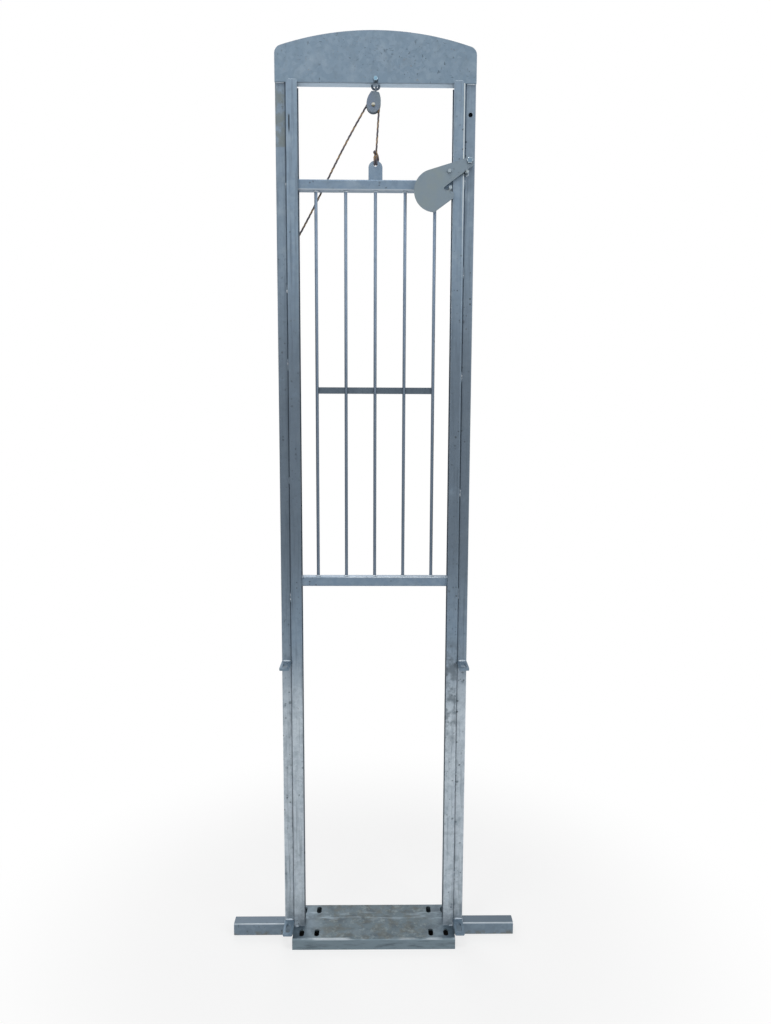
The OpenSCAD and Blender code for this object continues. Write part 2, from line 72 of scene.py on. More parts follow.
# Camera: the photograph's view, from chest height and about two metres off
LENS_MM = 27.07
SENSOR_MM = 36
CAMERA_AT = (0, -1.955, 1.390)
LOOK_DOWN_DEG = 6.86
LOOK_RIGHT_DEG = 0.78
LEAN_LEFT_DEG = 0.22


def make_camera():
    data = bpy.data.cameras.new("camera")
    data.lens = LENS_MM
    data.sensor_width = SENSOR_MM
    camera = bpy.data.objects.new("camera", data)
    camera.location = CAMERA_AT
    camera.rotation_euler = [math.radians(a) for a in (90 - LOOK_DOWN_DEG, -LEAN_LEFT_DEG, -LOOK_RIGHT_DEG)]
    bpy.context.collection.objects.link(camera)
    bpy.context.scene.camera = camera


# Mesh helpers


def curve_through(points, step):
    """Points about one step apart on a smooth curve through given points."""
    points = [Vector(p) for p in points]
    points = [2 * points[0] - points[1], *points, 2 * points[-1] - points[-2]]
    fine = []
    for a, b, c, d in zip(points, points[1:], points[2:], points[3:]):
        # Square roots of the spacings keep the curve from swinging out beside uneven points
        t1 = math.sqrt((b - a).length)
        t2 = t1 + math.sqrt((c - b).length)
        t3 = t2 + math.sqrt((d - c).length)
        count = max(2, math.ceil(2 * (c - b).length / step))
        for i in range(count):
            t = t1 + (t2 - t1) * i / count
            ab = a.lerp(b, t / t1)
            bc = b.lerp(c, (t - t1) / (t2 - t1))
            cd = c.lerp(d, (t - t2) / (t3 - t2))
            fine.append(ab.lerp(bc, t / t2).lerp(bc.lerp(cd, (t - t1) / (t3 - t1)), (t - t1) / (t2 - t1)))
    fine.append(points[-2])
    return even_steps(fine, step)


def even_steps(line, step):
    """The same line with its points about one step apart."""
    run = [0.0]
    for a, b in zip(line, line[1:]):
        run.append(run[-1] + (b - a).length)
    count = max(2, round(run[-1] / step))
    even, i = [], 0
    for k in range(count + 1):
        target = run[-1] * k / count
        while i < len(line) - 2 and run[i + 1] < target:
            i += 1
        even.append(line[i].lerp(line[i + 1], (target - run[i]) / max(run[i + 1] - run[i], 1e-12)))
    return even


def sections_along(line):
    """Each point of a line with two normals there, turned as little as possible from one to the next."""
    ahead = [(line[min(i + 1, len(line) - 1)] - line[max(i - 1, 0)]).normalized() for i in range(len(line))]
    side = ahead[0].orthogonal().normalized()
    sections = []
    for point, along in zip(line, ahead):
        side = (side - side.dot(along) * along).normalized()
        sections.append((point, side, along.cross(side)))
    return sections


def round_about(section, radius, angle):
    """A point at an angle round a section of a line."""
    point, side, up = section
    return point + radius * (math.cos(angle) * side + math.sin(angle) * up)


def add_tube(mesh, line, radius, sides):
    """Adds a closed round tube along a line; radius is one size or one for each point."""
    radii = [radius] * len(line) if isinstance(radius, float) else radius
    rings = []
    for section, r in zip(sections_along(line), radii):
        rings.append([mesh.verts.new(round_about(section, r, math.tau * k / sides)) for k in range(sides)])
    add_skin(mesh, rings)
    mesh.faces.new(list(reversed(rings[0])))
    mesh.faces.new(rings[-1])
    return [vertex for ring in rings for vertex in ring]


def add_skin(mesh, rings, bright=()):
    """Joins rings of equal count, one after the other, with smooth faces.

    bright holds the numbers of the bands between rings that take a second material.
    """
    for number, (ring, after) in enumerate(zip(rings, rings[1:])):
        for k in range(len(ring)):
            n = (k + 1) % len(ring)
            face = mesh.faces.new((ring[k], ring[n], after[n], after[k]))
            face.smooth = True
            face.material_index = 1 if number in bright else 0


def make_piece(name, mesh, material, body=None, replaced=()):
    """Turns a built mesh into a named piece that rides on a body."""
    data = bpy.data.meshes.new(name)
    mesh.to_mesh(data)
    mesh.free()
    data.materials.append(material)
    piece = bpy.data.objects.new(name, data)
    bpy.context.collection.objects.link(piece)
    if body:
        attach(piece, body)
    if replaced:
        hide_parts(*replaced)
    return piece


# Materials


def linear(hex_colour):
    """A colour written as sRGB hex, as linear RGBA."""
    channels = [int(hex_colour[i:i + 2], 16) / 255 for i in (1, 3, 5)]
    return [c / 12.92 if c <= 0.04045 else ((c + 0.055) / 1.055) ** 2.4 for c in channels] + [1.0]


def add(tree, kind, inputs, **settings):
    """Adds a node with its settings, and fills its inputs with values or links."""
    node = tree.nodes.new(kind)
    for name, value in settings.items():
        setattr(node, name, value)
    for name, value in inputs.items():
        if isinstance(value, bpy.types.NodeSocket):
            tree.links.new(value, node.inputs[name])
        else:
            node.inputs[name].default_value = value
    return node.outputs


@dataclass
class Layer:
    """A colour that covers part of a surface, in patches of a real size."""
    colour: str
    size_mm: float
    # Pattern levels, from 0 to 1, at which the layer begins and is full
    level: tuple
    strength: float = 1.0
    # How much longer the patches are along X, Y and Z
    stretch: tuple = (1, 1, 1)
    # "patches" are soft, "crystals" have straight sides and one tone each, "dots" stand round cell centres
    pattern: str = "patches"
    # Zones: an axis and four places in metres, or None, between which the layer fades in, stays and fades out
    zones: tuple = ()
    # Change of roughness and of height where the layer lies
    rough: float = 0.0
    depth_mm: float = 0.0
    detail: float = 4.0
    # Size of the clumps in which the patches stand, if they aren't spread evenly
    clump_mm: float = 0.0
    seed: float = 0.0


# Sockets of the mix node for colours, by number, because its sockets share their names
MIX_FACTOR, MIX_UNDER, MIX_OVER, MIX_OUT = 0, 6, 7, 2
PATCH_ROUGHNESS = 0.6
CLUMP_BEGINS, CLUMP_FULL = 0.48, 0.62
# A dot's ragged edge: how much finer than the dot, and how far it strays in dot sizes
RAG_FINER, RAG_DETAIL, RAG_REACH = 3, 3.0, 0.5
# Mesh attribute with the number of a rope's strand, and how near a number has to be
STRAND = "strand"
NUMBER_SPAN = 0.1


def layer_pattern(tree, at, layer):
    """The pattern that a layer is cut from, from 0 to 1."""
    scale = 1 / (layer.size_mm * MM)
    if layer.pattern == "patches":
        return add(tree, "ShaderNodeTexNoise", {
            "Vector": at, "Scale": scale, "Detail": layer.detail, "Roughness": PATCH_ROUGHNESS})["Fac"]
    if layer.pattern == "dots":
        # Ragged edges: the place is shifted by a finer noise before the cells are looked up
        rag = add(tree, "ShaderNodeTexNoise", {
            "Vector": at, "Scale": RAG_FINER * scale, "Detail": RAG_DETAIL})["Color"]
        at = add(tree, "ShaderNodeVectorMath", {0: rag, 1: [RAG_REACH / scale] * 3, 2: at},
                 operation="MULTIPLY_ADD")["Vector"]
    cells = add(tree, "ShaderNodeTexVoronoi", {"Vector": at, "Scale": scale})
    tone = add(tree, "ShaderNodeSeparateColor", {"Color": cells["Color"]})["Red"]
    if layer.pattern == "crystals":
        return tone
    # A dot is larger or smaller with its cell's own tone, so that dots differ
    return add(tree, "ShaderNodeMath", {0: tone, 1: cells["Distance"]}, operation="SUBTRACT")["Value"]


def layer_mask(tree, place, axes, layer):
    """Where a layer covers the surface, from 0 to 1."""
    shrink = [1 / s for s in layer.stretch]
    spread = add(tree, "ShaderNodeVectorMath", {0: place, 1: shrink}, operation="MULTIPLY")["Vector"]
    at = add(tree, "ShaderNodeVectorMath", {0: spread, 1: [layer.seed] * 3})["Vector"]
    mask = add(tree, "ShaderNodeMapRange", {
        "Value": layer_pattern(tree, at, layer), "From Min": layer.level[0], "From Max": layer.level[1],
        "To Max": layer.strength}, interpolation_type="SMOOTHSTEP")["Result"]
    if layer.clump_mm:
        clumps = add(tree, "ShaderNodeTexNoise", {"Vector": at, "Scale": 1 / (layer.clump_mm * MM)})["Fac"]
        near = add(tree, "ShaderNodeMapRange", {
            "Value": clumps, "From Min": CLUMP_BEGINS, "From Max": CLUMP_FULL})["Result"]
        mask = add(tree, "ShaderNodeMath", {0: mask, 1: near}, operation="MULTIPLY")["Value"]
    for axis, *edges in layer.zones:
        for start, full in (edges[:2], edges[:1:-1]):
            if start is not None:
                share = add(tree, "ShaderNodeMapRange", {
                    "Value": axes[axis], "From Min": start, "From Max": full},
                    interpolation_type="SMOOTHSTEP")["Result"]
                mask = add(tree, "ShaderNodeMath", {0: mask, 1: share}, operation="MULTIPLY")["Value"]
    return mask


def layered(name, colour, roughness, metallic, layers, strands=()):
    """A material of one ground colour and layers over it.

    strands holds the ground colours of a rope's second and later strands.
    """
    material = bpy.data.materials.new(name)
    material.use_nodes = True
    tree = material.node_tree
    tree.nodes.clear()
    place = add(tree, "ShaderNodeTexCoord", {})["Object"]
    axes = add(tree, "ShaderNodeSeparateXYZ", {"Vector": place})
    tone, rough, height = linear(colour), roughness, None
    for number, other in enumerate(strands):
        strand = add(tree, "ShaderNodeAttribute", {}, attribute_name=STRAND)["Fac"]
        here = add(tree, "ShaderNodeMath", {0: strand, 1: number + 1.0, 2: NUMBER_SPAN},
                   operation="COMPARE")["Value"]
        tone = add(tree, "ShaderNodeMix", {MIX_FACTOR: here, MIX_UNDER: tone, MIX_OVER: linear(other)},
                   data_type="RGBA")[MIX_OUT]
    for layer in layers:
        mask = layer_mask(tree, place, axes, layer)
        tone = add(tree, "ShaderNodeMix", {MIX_FACTOR: mask, MIX_UNDER: tone, MIX_OVER: linear(layer.colour)},
                   data_type="RGBA")[MIX_OUT]
        if layer.rough:
            rough = add(tree, "ShaderNodeMath", {0: mask, 1: layer.rough, 2: rough},
                        operation="MULTIPLY_ADD")["Value"]
        if layer.depth_mm:
            below = 0.0 if height is None else height
            height = add(tree, "ShaderNodeMath", {0: mask, 1: layer.depth_mm * MM, 2: below},
                         operation="MULTIPLY_ADD")["Value"]
    inputs = {"Base Color": tone, "Roughness": rough, "Metallic": metallic}
    if height is not None:
        inputs["Normal"] = add(tree, "ShaderNodeBump", {"Height": height, "Distance": 1.0})["Normal"]
    shader = add(tree, "ShaderNodeBsdfPrincipled", inputs)
    add(tree, "ShaderNodeOutputMaterial", {"Surface": shader["BSDF"]})
    return material


# Hot-dip galvanised steel: the part is dipped whole in molten zinc, which sets as dull crystals a few
# millimetres across and weathers to a mottled blue-grey, with runs, pale bloom and dark scuffs
CRYSTALS = Layer("#8b9caa", 9, (0.2, 1.0), 0.28, pattern="crystals", rough=-0.06)
MOTTLE = Layer("#63737f", 22, (0.45, 0.75), 0.4, detail=6, rough=0.05, seed=3.1)
BLOOM = Layer("#98a7b3", 60, (0.52, 0.72), 0.35, detail=5, rough=0.08, seed=7.7)
RUNS = Layer("#46535f", 6, (0.48, 0.75), 0.5, stretch=(1, 1, 22), rough=0.04, seed=1.3)
SCUFFS = Layer("#3c464d", 9, (0.60, 0.72), 0.8, stretch=(1, 1, 1.6), detail=8, clump_mm=90, rough=0.1,
               seed=11.9)
SPECKS = Layer("#3a4349", 8, (0.55, 0.75), 0.8, pattern="dots", clump_mm=70, rough=0.1, seed=5.5)
# The zinc's own grain, under a millimetre, is too fine to show and is drawn at about two
GRAIN = Layer("#6d7f92", 2.2, (0.35, 0.7), 0.16, depth_mm=0.05, seed=2.2)
# The middle of the posts is drawn darker and smoother, and the lower part paler as painted light
DARKER_MIDDLE = Layer("#505b66", 90, (0.05, 0.4), 0.7, zones=(("Z", 0.80, 1.10, 1.45, 1.85),), rough=-0.05)
LOW_PAINTED_LIGHT = Layer("#c7d2da", 70, (0.1, 0.4), 0.9, zones=(("Z", None, None, 0.60, 0.85),), rough=0.06)
# Painted shade near the ground: the posts and tracks are darker towards the bottom, in patches
GROUND_SHADE = Layer("#5f6c75", 26, (0.35, 0.65), 0.6, zones=(("Z", None, None, 0.04, 0.14),), rough=0.12)
SPLASHES = Layer("#59646c", 11, (0.50, 0.72), 0.7, pattern="dots", clump_mm=60, rough=0.1, seed=25.0,
                 zones=(("Z", None, None, 0.75, 0.95),))
# Zones: the front faces of tracks, feet, rails and floor plate, and the floor plate's top
TRACK_FRONT = ("Y", None, None, -0.0175, -0.017)
FOOT_FRONT = ("Y", None, None, -0.0150, -0.0135)
RAIL_FRONT = ("Y", None, None, -0.0105, -0.0095)
FLOOR_FRONT = ("Y", None, None, -0.0690, -0.0675)
FLOOR_TOP = ("Z", 0.028, 0.029, None, None)


def painted_edge_highlight(zones, level=(0.30, 0.55)):
    """A bright line along a rounded corner: a painted highlight."""
    return Layer("#c3ccd3", 35, level, 0.65, stretch=(4, 1, 1), rough=-0.12, seed=18.0, zones=zones)


def galvanised_tube():
    # Dipped square tube, with runs down its length, and a brown-grey deposit with a sharp lower edge
    # under the left end of the head plate
    deposit = Layer("#6a6e64", 25, (0.38, 0.60), 0.6, detail=6, rough=0.15, seed=31.0,
                    zones=(("X", None, None, -0.22, -0.21), ("Z", 2.036, 2.040, None, None)))
    return layered("hot_dip_galvanised_tube", "#768797", 0.50, 0.55, [
        LOW_PAINTED_LIGHT, CRYSTALS, MOTTLE, BLOOM, DARKER_MIDDLE, RUNS, deposit, SPECKS, SPLASHES, SCUFFS, GROUND_SHADE,
        GRAIN])


def galvanised_track():
    # Folded sheet, dipped with the frame: the inside of the channel is painted dark, as painted shade
    channel_shade = Layer("#36434e", 60, (0.0, 0.25), 0.9, rough=0.1,
                    zones=(("Y", -0.0178, -0.0172, 0.0172, 0.0178),))
    # A dark drip by the groove at the left, and a painted highlight along the right track's bend
    drip = Layer("#1c2429", 20, (0.0, 0.3), 0.9, rough=0.1, zones=(
        ("X", -0.2092, -0.2080, -0.2052, -0.2040), TRACK_FRONT, ("Z", 2.060, 2.085, 2.106, 2.113)))
    bright = Layer("#d3d8d3", 40, (0.2, 0.4), 0.8, rough=-0.1, zones=(
        ("X", 0.2104, 0.2110, 0.2122, 0.2128), TRACK_FRONT, ("Z", 1.70, 2.02, None, None)))
    smudge = Layer("#59646c", 30, (0.42, 0.60), 0.7, detail=7, rough=0.1, seed=41.0,
                   zones=(("X", 0.18, 0.185, None, None), ("Z", 0.50, 0.62, 0.78, 0.86)))
    return layered("hot_dip_galvanised_track", "#7a8d9f", 0.46, 0.55, [
        LOW_PAINTED_LIGHT, CRYSTALS, MOTTLE, BLOOM, DARKER_MIDDLE, RUNS, SPECKS, SPLASHES, SCUFFS, smudge, GROUND_SHADE,
        channel_shade, drip, bright, GRAIN])


def galvanised_foot():
    # Dipped tube: smooth and darker on top, bright along the front edge with a painted highlight,
    # brown-stained low down
    stain = Layer("#6f6c5f", 18, (0.40, 0.62), 0.7, detail=6, rough=0.15, seed=33.0,
                  zones=(("Z", None, None, 0.006, 0.018),))
    edge = painted_edge_highlight((FOOT_FRONT, ("Z", 0.0315, 0.0330, None, None)), (0.25, 0.45))
    darker_top = Layer("#55636f", 40, (0.1, 0.4), 0.9, zones=(("Z", 0.0325, 0.0335, None, None),))
    return layered("hot_dip_galvanised_foot", "#70818f", 0.46, 0.55, [
        CRYSTALS, MOTTLE, darker_top, SPECKS, SCUFFS, stain, edge, GRAIN])


def galvanised_rail():
    # Dipped tube of the gate: the front corners that face the bars get a painted highlight
    half, fade = 2.5 * MM, 1 * MM
    edges = []
    for z in (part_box("gate_top_rail")[0].z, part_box("gate_bottom_rail")[1].z):
        corner = ("Z", z - half - fade, z - half, z + half, z + half + fade)
        edges.append(painted_edge_highlight((RAIL_FRONT, corner)))
    return layered("hot_dip_galvanised_rail", "#73879b", 0.44, 0.6, [
        CRYSTALS, MOTTLE, BLOOM, SPECKS, *edges, GRAIN])


def galvanised_bar(name="hot_dip_galvanised_bar", colour="#7a8ba0"):
    # Rolled bar, dipped with the gate: smoother than tube, with runs down it and darker in its lower half
    return layered(name, colour, 0.40, 0.65, [MOTTLE, BLOOM, DARKER_MIDDLE, RUNS, GRAIN])


def galvanised_plate(name="hot_dip_galvanised_plate", *more):
    # Dipped flat plate takes more scuffs and pits than tube, with small brown rust marks
    rust = Layer("#7d6a50", 8, (0.62, 0.72), 0.6, detail=6, clump_mm=60, rough=0.15, seed=21.0)
    pits = Layer("#414c53", 5, (0.66, 0.72), 0.7, detail=2, clump_mm=95, rough=0.1, seed=14.2)
    rubs = Layer("#46525a", 4, (0.60, 0.70), 0.6, stretch=(3, 1, 1), detail=5, clump_mm=55, rough=0.1,
                 seed=51.0)
    # A painted shadow under the head bolt
    low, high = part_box("head_bolt")
    bolt_shadow = Layer("#262f36", 9, (0.25, 0.45), 0.85, rough=0.1, zones=(
        ("X", low.x - 2 * MM, low.x + 1 * MM, high.x - 1 * MM, high.x + 2 * MM),
        ("Z", None, None, low.z + 1 * MM, low.z + 4 * MM)))
    return layered(name, "#6f8394", 0.50, 0.5, [
        CRYSTALS, MOTTLE, BLOOM, rust, pits, rubs, SCUFFS, bolt_shadow, *more, GRAIN])


def galvanised_crossbar():
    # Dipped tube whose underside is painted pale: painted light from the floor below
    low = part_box("crossbar")[0].z
    underside_light = Layer("#bdd1e2", 30, (0.2, 0.5), 0.85, stretch=(4, 1, 1),
                  zones=(("Z", None, None, low + 0.5 * MM, low + 3 * MM),))
    return galvanised_plate("hot_dip_galvanised_crossbar", underside_light)


def galvanised_latch():
    # Cut plate, dipped on its own: greyer and smoother than the frame, with dark rubs near the pivot
    rub = Layer("#4c575f", 10, (0.55, 0.68), 0.7, zones=(("X", 0.17, 0.20, None, None),), seed=9.0, detail=6)
    return layered("galvanised_latch_plate", "#798893", 0.46, 0.45, [
        Layer("#838d86", 70, (0.45, 0.7), 0.45, seed=4.0),
        Layer("#6d8094", 80, (0.45, 0.7), 0.5, seed=8.0), rub, GRAIN])


def worn_base_plate():
    # Folded and dipped plate: hooves wear the middle dull and leave dried mud, and the ends by the
    # posts keep their zinc
    walked = ("X", -0.185, -0.11, 0.11, 0.185)
    zinc = Layer("#55646f", 30, (0.2, 0.6), 0.9, rough=-0.12, zones=(FLOOR_TOP,))
    dull = Layer("#5c6a70", 45, (0.1, 0.5), 0.85, detail=5, rough=0.2, seed=16.0, zones=(walked, FLOOR_TOP))
    shade = Layer("#3d4851", 34, (0.45, 0.70), 0.6, detail=5, rough=0.1, seed=44.0, zones=(FLOOR_TOP,))
    mud = Layer("#6a685d", 20, (0.42, 0.66), 0.5, detail=5, rough=0.25, depth_mm=0.4, seed=6.0,
                zones=(walked, FLOOR_TOP))
    pale = Layer("#8d989a", 14, (0.52, 0.72), 0.6, detail=6, rough=0.1, seed=17.0, zones=(walked, FLOOR_TOP))
    # Bright scrapes across the plate, from under the gate's middle to behind it
    scrapes = Layer("#8d9ca6", 12, (0.50, 0.66), 0.5, stretch=(5, 1, 1), rough=-0.15, seed=1.0,
                    zones=(("Y", -0.002, 0.002, 0.036, 0.042), FLOOR_TOP))
    smears = Layer("#4d5961", 14, (0.44, 0.74), 0.7, stretch=(3, 1, 0.6), detail=3, rough=0.15, seed=13.0,
                   zones=(("Z", None, None, 0.02, 0.03),))
    # A painted highlight along the front bend
    bend = painted_edge_highlight((FLOOR_FRONT, ("Z", 0.0255, 0.0275, None, None)), (0.40, 0.56))
    return layered("worn_galvanised_floor_plate", "#75868f", 0.48, 0.5, [
        zinc, dull, shade, mud, pale, scrapes, smears, bend, GRAIN])


def weld_metal(name, colour):
    # Zinc-coated weld: rippled and paler than the tube, partly as painted highlight, with small bright spots
    # of painted highlight where it stands proud
    return layered(name, colour, 0.38, 0.6, [
        Layer("#6b7884", 5, (0.5, 0.75), 0.6, seed=1.0),
        Layer("#dde3e8", 6, (0.54, 0.66), 0.8, seed=2.0)])


def zinc_bolt(name, colour):
    # Electroplated zinc with a clear blue passivate: bright and smooth, faintly blue while it is new
    return layered(name, colour, 0.34, 0.7, [
        Layer("#6f8796", 6, (0.55, 0.75), 0.3, rough=0.1),
        Layer("#5c5a52", 4, (0.70, 0.82), 0.5, seed=3.0, rough=0.2)])


def painted_rim_highlight():
    # Electroplated zinc on the chamfers, the same metal drawn brighter and smoother: a painted highlight
    return layered("zinc_chamfer_painted_highlight", "#cbd5d9", 0.25, 0.7, [Layer("#8fa0aa", 5, (0.5, 0.75), 0.6)])


def dull_pin():
    # Cut rod, its zinc gone pale and dull, with a brown film where water stays
    return layered("dull_zinc_pin", "#98a6af", 0.48, 0.4, [
        Layer("#7f7d6c", 6, (0.52, 0.72), 0.5, rough=0.1),
        Layer("#b9c4ca", 8, (0.55, 0.75), 0.6, seed=5.0)])


def gold_zinc():
    # Electroplated zinc with a yellow passivate, pale on top and with painted shade on its lower half
    lower_half_shade = Layer("#58533a", 30, (0.0, 0.2), 0.85,
                    zones=(("Z", None, None, AXLE.z - 1.2 * MM, AXLE.z + 0.4 * MM),))
    return layered("yellow_zinc_plated_steel", "#c0c2bb", 0.34, 0.8, [
        Layer("#8f8558", 5, (0.45, 0.7), 0.5, rough=0.1), lower_half_shade])


def pulley_steel():
    # Pressed sheet with a thin plated zinc: smooth and dull, with faint blue and green tints
    return layered("zinc_plated_pressed_steel", "#6a7783", 0.48, 0.5, [
        Layer("#6c7898", 30, (0.45, 0.7), 0.35),
        Layer("#7f8c88", 22, (0.5, 0.75), 0.4, seed=2.0), GRAIN])


def dark_rod():
    # Drawn rod, its zinc worn to dark steel by the ring and the rope
    return layered("worn_zinc_rod", "#5a6572", 0.45, 0.6, [
        Layer("#39434c", 7, (0.5, 0.7), 0.6, rough=0.1),
        Layer("#8a8f7c", 9, (0.58, 0.75), 0.5, seed=3.0)])


def laid_rope_fibre():
    # Weathered laid rope: matt fibre, one strand faded to tan and two dark with grease. Single fibres
    # are too fine to show and are drawn at about a millimetre
    fibres = Layer("#6a6258", 0.9, (0.4, 0.65), 0.3, stretch=(1, 1, 3), depth_mm=0.12, seed=8.0)
    return layered("weathered_laid_rope", "#4e505c", 0.85, 0.0, [
        Layer("#6b5d4e", 14, (0.45, 0.7), 0.4, rough=0.05),
        Layer("#a8926c", 9, (0.60, 0.78), 0.35, seed=4.0),
        Layer("#3f4048", 6, (0.6, 0.75), 0.3, seed=6.0), fibres], strands=("#5e5a64", "#a88b64"))


# Rope: three strands laid round each other
ROPE_D = 5 * MM
ROPE_LAY = 36 * MM
STEPS_A_LAY = 14
STRANDS = 3
STRAND_SIDES = 8
# Three strands pressed into each other by the lay, inside the rope's own circle
STRAND_R = 0.54 * ROPE_D / 2


def laid_rope(line):
    """A mesh of strands laid along a line of even steps, with each strand's number on its points."""
    mesh = bmesh.new()
    number = mesh.verts.layers.float.new(STRAND)
    sections = sections_along(line)
    for strand in range(STRANDS):
        strand_line = []
        for i, section in enumerate(sections):
            angle = math.tau * (i / STEPS_A_LAY + strand / STRANDS)
            strand_line.append(round_about(section, ROPE_D / 2 - STRAND_R, angle))
        for vertex in add_tube(mesh, strand_line, STRAND_R, STRAND_SIDES):
            vertex[number] = strand
    return mesh


def rope_line(points):
    return curve_through(points, ROPE_LAY / STEPS_A_LAY)


# Loose fibres at a cut end: where they start, how far they reach, and where they bend and end sideways
FIBRE_R = 0.35 * MM
FIBRE_TAPER = 0.6
FIBRE_STEPS, FIBRE_SIDES = 6, 5
FIBRE_ROOT = 2 * MM
FIBRE_FROM_MIDDLE = (0, 0.8)
FIBRE_REACH = (0.5, 1)
FIBRE_BEND_AT, FIBRE_BEND_OUT = 0.6, 0.1
FIBRE_END_OUT = (0.2, 0.5)


def frayed_tip(at, ahead, count, length):
    """A tuft of loose fibres at the cut end of the rope."""
    mesh = bmesh.new()
    number = mesh.verts.layers.float.new(STRAND)
    draw = random.Random(7)
    side = ahead.orthogonal().normalized()
    other = ahead.cross(side)
    for i in range(count):
        angle = draw.uniform(0, math.tau)
        out = math.cos(angle) * side + math.sin(angle) * other
        start = at + out * draw.uniform(*FIBRE_FROM_MIDDLE) * ROPE_D / 2 - ahead * FIBRE_ROOT
        reach = length * draw.uniform(*FIBRE_REACH)
        bent = start + ahead * reach * FIBRE_BEND_AT + out * reach * FIBRE_BEND_OUT
        end = start + ahead * reach + out * reach * draw.uniform(*FIBRE_END_OUT)
        fibre = curve_through([start, bent, end], reach / FIBRE_STEPS)
        radii = [FIBRE_R * (1 - FIBRE_TAPER * k / (len(fibre) - 1)) for k in range(len(fibre))]
        for vertex in add_tube(mesh, fibre, radii, FIBRE_SIDES):
            vertex[number] = i % STRANDS
    return mesh


# The tail hangs free behind the left upright, from the eye down: its route, its length and its knot
EYE = Vector((-0.2275, 0.038, 1.771))
TAIL_STEPS_MM = [
    (0, 0, 0), (0, 0, -50), (-1, 1, -150), (-2, 1, -250), (-2, 2, -350), (-1, 2, -450),
    (0, 2, -550), (1, 1, -650), (2, 0, -750), (2, 0, -850), (1, 0, -950), (0, 1, -1050),
    (-1, 2, -1150), (-2, 2, -1250), (-1, 1, -1350), (0, 0, -1440), (0, 0, -1500),
]
TAIL_KNOT_Z = EYE.z - 1.440
WRAP_R = ROPE_D + 0.1 * MM
WRAP_RISE = ROPE_D + 0.2 * MM
WRAPS = 2.5
# The wraps' ends are tucked in towards the rope
TUCK = 0.75 * WRAP_R
TUCK_BELOW, TUCK_ABOVE = 3 * MM, 2 * MM
TAIL_FIBRES, TAIL_FRAY = 24, 14 * MM


def turns(centre, radius, rise, count, steps=8):
    """Points of a helix that climbs round a vertical line."""
    points = []
    for i in range(round(count * steps) + 1):
        angle = math.tau * i / steps
        points.append(centre + Vector((radius * math.cos(angle), radius * math.sin(angle), rise * i / steps)))
    return points


def make_tail(fibre):
    """The free end of the rope, its stopper knot and its frayed tip."""
    route = [EYE + Vector(step) * MM for step in TAIL_STEPS_MM]
    line = rope_line(route)
    tail = make_piece("rope_tail_strands", laid_rope(line), fibre, "frame", ["rope_tail"])
    centre = Vector((EYE.x, EYE.y, TAIL_KNOT_Z - WRAP_RISE))
    wraps = turns(centre, WRAP_R, WRAP_RISE, WRAPS)
    first = centre + Vector((TUCK, -TUCK, -TUCK_BELOW))
    last = wraps[-1] + Vector((TUCK, -TUCK, TUCK_ABOVE))
    knot = make_piece("rope_stopper_knot", laid_rope(rope_line([first, *wraps, last])), fibre,
                      "frame", ["rope_tail_knot"])
    tip = make_piece("rope_tail_fray", frayed_tip(route[-1], -UP, TAIL_FIBRES, TAIL_FRAY), fibre,
                     "frame")
    # As the gate goes down it takes up rope, and the tail draws up to the eye; here each piece only gets its
    # own copy of its mesh
    for piece in (tail, knot, tip):
        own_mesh(piece)


# The working part of the rope: over the sheave, down to the gate and down to the eye
AXLE = Vector(joints["sheave_spin"]["pos_m"])
SHEAVE_R = 14 * MM
RUN_TURN_DEG = 151
RUN_TURN_STEPS = 10
RUN_SWAY = 4.5 * MM
# Places along the straight, as shares of it, clear of the sheave and of the bend into the eye
RUN_SHARES = [0.06 + 0.0855 * i for i in range(11)]
BEND_L = 10 * MM
BEND_SHARES = (0, 0.25, 0.5, 0.75, 1)
KNOT_TOP = Vector((2 * MM, 0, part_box("rope_knot")[1].z))


def on_sheave(degrees):
    angle = math.radians(degrees)
    return AXLE + SHEAVE_R * Vector((math.cos(angle), 0, math.sin(angle)))


def make_run(fibre):
    """The rope from the sheave down to the eye, with the slight sway of a stiff old rope."""
    start = on_sheave(RUN_TURN_DEG)
    corner = EYE + BEND_L * UP
    bend = corner + BEND_L * (start - corner).normalized()
    route = [on_sheave(RUN_TURN_DEG * i / RUN_TURN_STEPS) for i in range(RUN_TURN_STEPS + 1)]
    for t in RUN_SHARES:
        route.append(start.lerp(bend, t) + RUN_SWAY * math.sin(math.tau * t) * UP)
    route += [bend.lerp(corner, t).lerp(corner.lerp(EYE, t), t) for t in BEND_SHARES]
    make_piece("rope_run_strands", laid_rope(rope_line(route)), fibre, "frame", ["rope_run"])


def make_drop(fibre):
    """The rope from the sheave to the knot, which lengthens as the gate goes down."""
    drop = make_piece("rope_drop_strands", laid_rope(rope_line([on_sheave(0), KNOT_TOP])), fibre,
                      replaced=["rope_drop"])
    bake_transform(drop)


